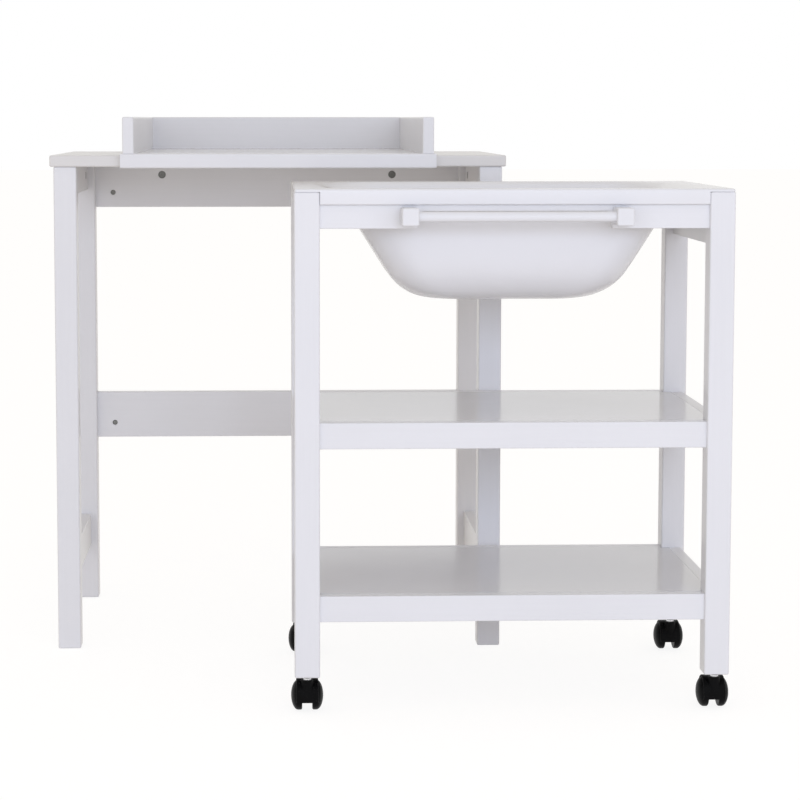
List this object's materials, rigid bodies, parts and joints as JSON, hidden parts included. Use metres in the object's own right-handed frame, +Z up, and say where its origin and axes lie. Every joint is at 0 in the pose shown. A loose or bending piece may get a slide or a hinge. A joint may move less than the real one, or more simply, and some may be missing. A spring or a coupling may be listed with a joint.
{
  "type": "changing table with bath trolley",
  "caption": "Open changing table with a loose three-sided tray, and a rolling shelf trolley that carries a moulded baby bath, a towel bar and twin-wheel castors.",
  "frame": {"origin": "centre of the whole footprint on the floor", "axes": "+Z up, +X to the trolley's side, +Y from the front of the trolley to the back of the table"},
  "size_m": [1.1732, 1.253, 0.9903],
  "materials": {
    "frame_lacquer": "satin white lacquer on wood",
    "panel_lacquer": "glossy white panel",
    "bath_plastic": "gloss",
    "hood_plastic": "satin",
    "wheel_plastic": "satin",
    "castor_steel": "bright",
    "dark_zinc": "dark zinc",
    "bolt_steel": "zinc plated"
  },
  "bodies": {
    "table": {"table_apron_left": "frame_lacquer", "table_apron_rear": "frame_lacquer", "table_apron_right": "frame_lacquer", "table_barrel_nuts": "dark_zinc", "table_cam_locks": "dark_zinc", "table_frame_bolts": "bolt_steel", "table_leg_front_left": "frame_lacquer", "table_leg_front_right": "frame_lacquer", "table_leg_rear_left": "frame_lacquer", "table_leg_rear_right": "frame_lacquer", "table_stretcher_left": "frame_lacquer", "table_stretcher_rear": "frame_lacquer", "table_stretcher_right": "frame_lacquer", "table_top": "frame_lacquer"},
    "tray": {"tray_floor": "panel_lacquer", "tray_front_lip": "frame_lacquer", "tray_screws": "bolt_steel", "tray_wall_back": "frame_lacquer", "tray_wall_left": "frame_lacquer", "tray_wall_right": "frame_lacquer"},
    "trolley": {"castor_sockets": "hood_plastic", "lower_shelf_panel": "panel_lacquer", "lower_shelf_rail_front": "frame_lacquer", "lower_shelf_rail_left": "frame_lacquer", "lower_shelf_rail_rear": "frame_lacquer", "lower_shelf_rail_right": "frame_lacquer", "middle_shelf_panel": "panel_lacquer", "middle_shelf_rail_front": "frame_lacquer", "middle_shelf_rail_left": "frame_lacquer", "middle_shelf_rail_rear": "frame_lacquer", "middle_shelf_rail_right": "frame_lacquer", "towel_bar": "frame_lacquer", "towel_bar_blocks": "frame_lacquer", "trolley_barrel_nuts": "dark_zinc", "trolley_frame_bolts": "bolt_steel", "trolley_post_front_left": "frame_lacquer", "trolley_post_front_right": "frame_lacquer", "trolley_post_rear_left": "frame_lacquer", "trolley_post_rear_right": "frame_lacquer", "trolley_rail_front": "frame_lacquer", "trolley_rail_left": "frame_lacquer", "trolley_rail_rear": "frame_lacquer", "trolley_rail_right": "frame_lacquer"},
    "bath": {"bath_tub": "bath_plastic"},
    "castor_front_left": {"castor_hood_front_left": "hood_plastic", "castor_pins_front_left": "castor_steel"},
    "wheel_front_left_left": {"castor_wheel_front_left_left": "wheel_plastic"},
    "wheel_front_left_right": {"castor_wheel_front_left_right": "wheel_plastic"},
    "castor_front_right": {"castor_hood_front_right": "hood_plastic", "castor_pins_front_right": "castor_steel"},
    "wheel_front_right_left": {"castor_wheel_front_right_left": "wheel_plastic"},
    "wheel_front_right_right": {"castor_wheel_front_right_right": "wheel_plastic"},
    "castor_rear_left": {"castor_hood_rear_left": "hood_plastic", "castor_pins_rear_left": "castor_steel"},
    "wheel_rear_left_left": {"castor_wheel_rear_left_left": "wheel_plastic"},
    "wheel_rear_left_right": {"castor_wheel_rear_left_right": "wheel_plastic"},
    "castor_rear_right": {"castor_hood_rear_right": "hood_plastic", "castor_pins_rear_right": "castor_steel"},
    "wheel_rear_right_left": {"castor_wheel_rear_right_left": "wheel_plastic"},
    "wheel_rear_right_right": {"castor_wheel_rear_right_right": "wheel_plastic"}
  },
  "joints": [
    {"name": "trolley_roll", "type": "slide", "parent": "table", "child": "trolley", "axis": [1, 0, 0], "range_m": [-0.385, 0.2]},
    {"name": "tray_lift", "type": "slide", "parent": "table", "child": "tray", "axis": [0, 0, 1], "range_m": [0, 0.12]},
    {"name": "bath_lift", "type": "slide", "parent": "trolley", "child": "bath", "axis": [0, 0, 1], "range_m": [0, 0.22]},
    {"name": "castor_swivel_front_left", "type": "hinge", "parent": "trolley", "child": "castor_front_left", "pos_m": [-0.1234, -0.5605, 0.05], "axis": [0, 0, 1], "continuous": true},
    {"name": "wheel_front_left_left_spin", "type": "hinge", "parent": "castor_front_left", "child": "wheel_front_left_left", "pos_m": [-0.14115, -0.5435, 0.025], "axis": [1, 0, 0], "continuous": true},
    {"name": "wheel_front_left_right_spin", "type": "hinge", "parent": "castor_front_left", "child": "wheel_front_left_right", "pos_m": [-0.10565, -0.5435, 0.025], "axis": [1, 0, 0], "continuous": true},
    {"name": "castor_swivel_front_right", "type": "hinge", "parent": "trolley", "child": "castor_front_right", "pos_m": [0.5596, -0.5605, 0.05], "axis": [0, 0, 1], "continuous": true},
    {"name": "wheel_front_right_left_spin", "type": "hinge", "parent": "castor_front_right", "child": "wheel_front_right_left", "pos_m": [0.54185, -0.5435, 0.025], "axis": [1, 0, 0], "continuous": true},
    {"name": "wheel_front_right_right_spin", "type": "hinge", "parent": "castor_front_right", "child": "wheel_front_right_right", "pos_m": [0.57735, -0.5435, 0.025], "axis": [1, 0, 0], "continuous": true},
    {"name": "castor_swivel_rear_left", "type": "hinge", "parent": "trolley", "child": "castor_rear_left", "pos_m": [-0.1234, -0.1405, 0.05], "axis": [0, 0, 1], "continuous": true},
    {"name": "wheel_rear_left_left_spin", "type": "hinge", "parent": "castor_rear_left", "child": "wheel_rear_left_left", "pos_m": [-0.14115, -0.1235, 0.025], "axis": [1, 0, 0], "continuous": true},
    {"name": "wheel_rear_left_right_spin", "type": "hinge", "parent": "castor_rear_left", "child": "wheel_rear_left_right", "pos_m": [-0.10565, -0.1235, 0.025], "axis": [1, 0, 0], "continuous": true},
    {"name": "castor_swivel_rear_right", "type": "hinge", "parent": "trolley", "child": "castor_rear_right", "pos_m": [0.5596, -0.1405, 0.05], "axis": [0, 0, 1], "continuous": true},
    {"name": "wheel_rear_right_left_spin", "type": "hinge", "parent": "castor_rear_right", "child": "wheel_rear_right_left", "pos_m": [0.54185, -0.1235, 0.025], "axis": [1, 0, 0], "continuous": true},
    {"name": "wheel_rear_right_right_spin", "type": "hinge", "parent": "castor_rear_right", "child": "wheel_rear_right_right", "pos_m": [0.57735, -0.1235, 0.025], "axis": [1, 0, 0], "continuous": true}
  ]
}
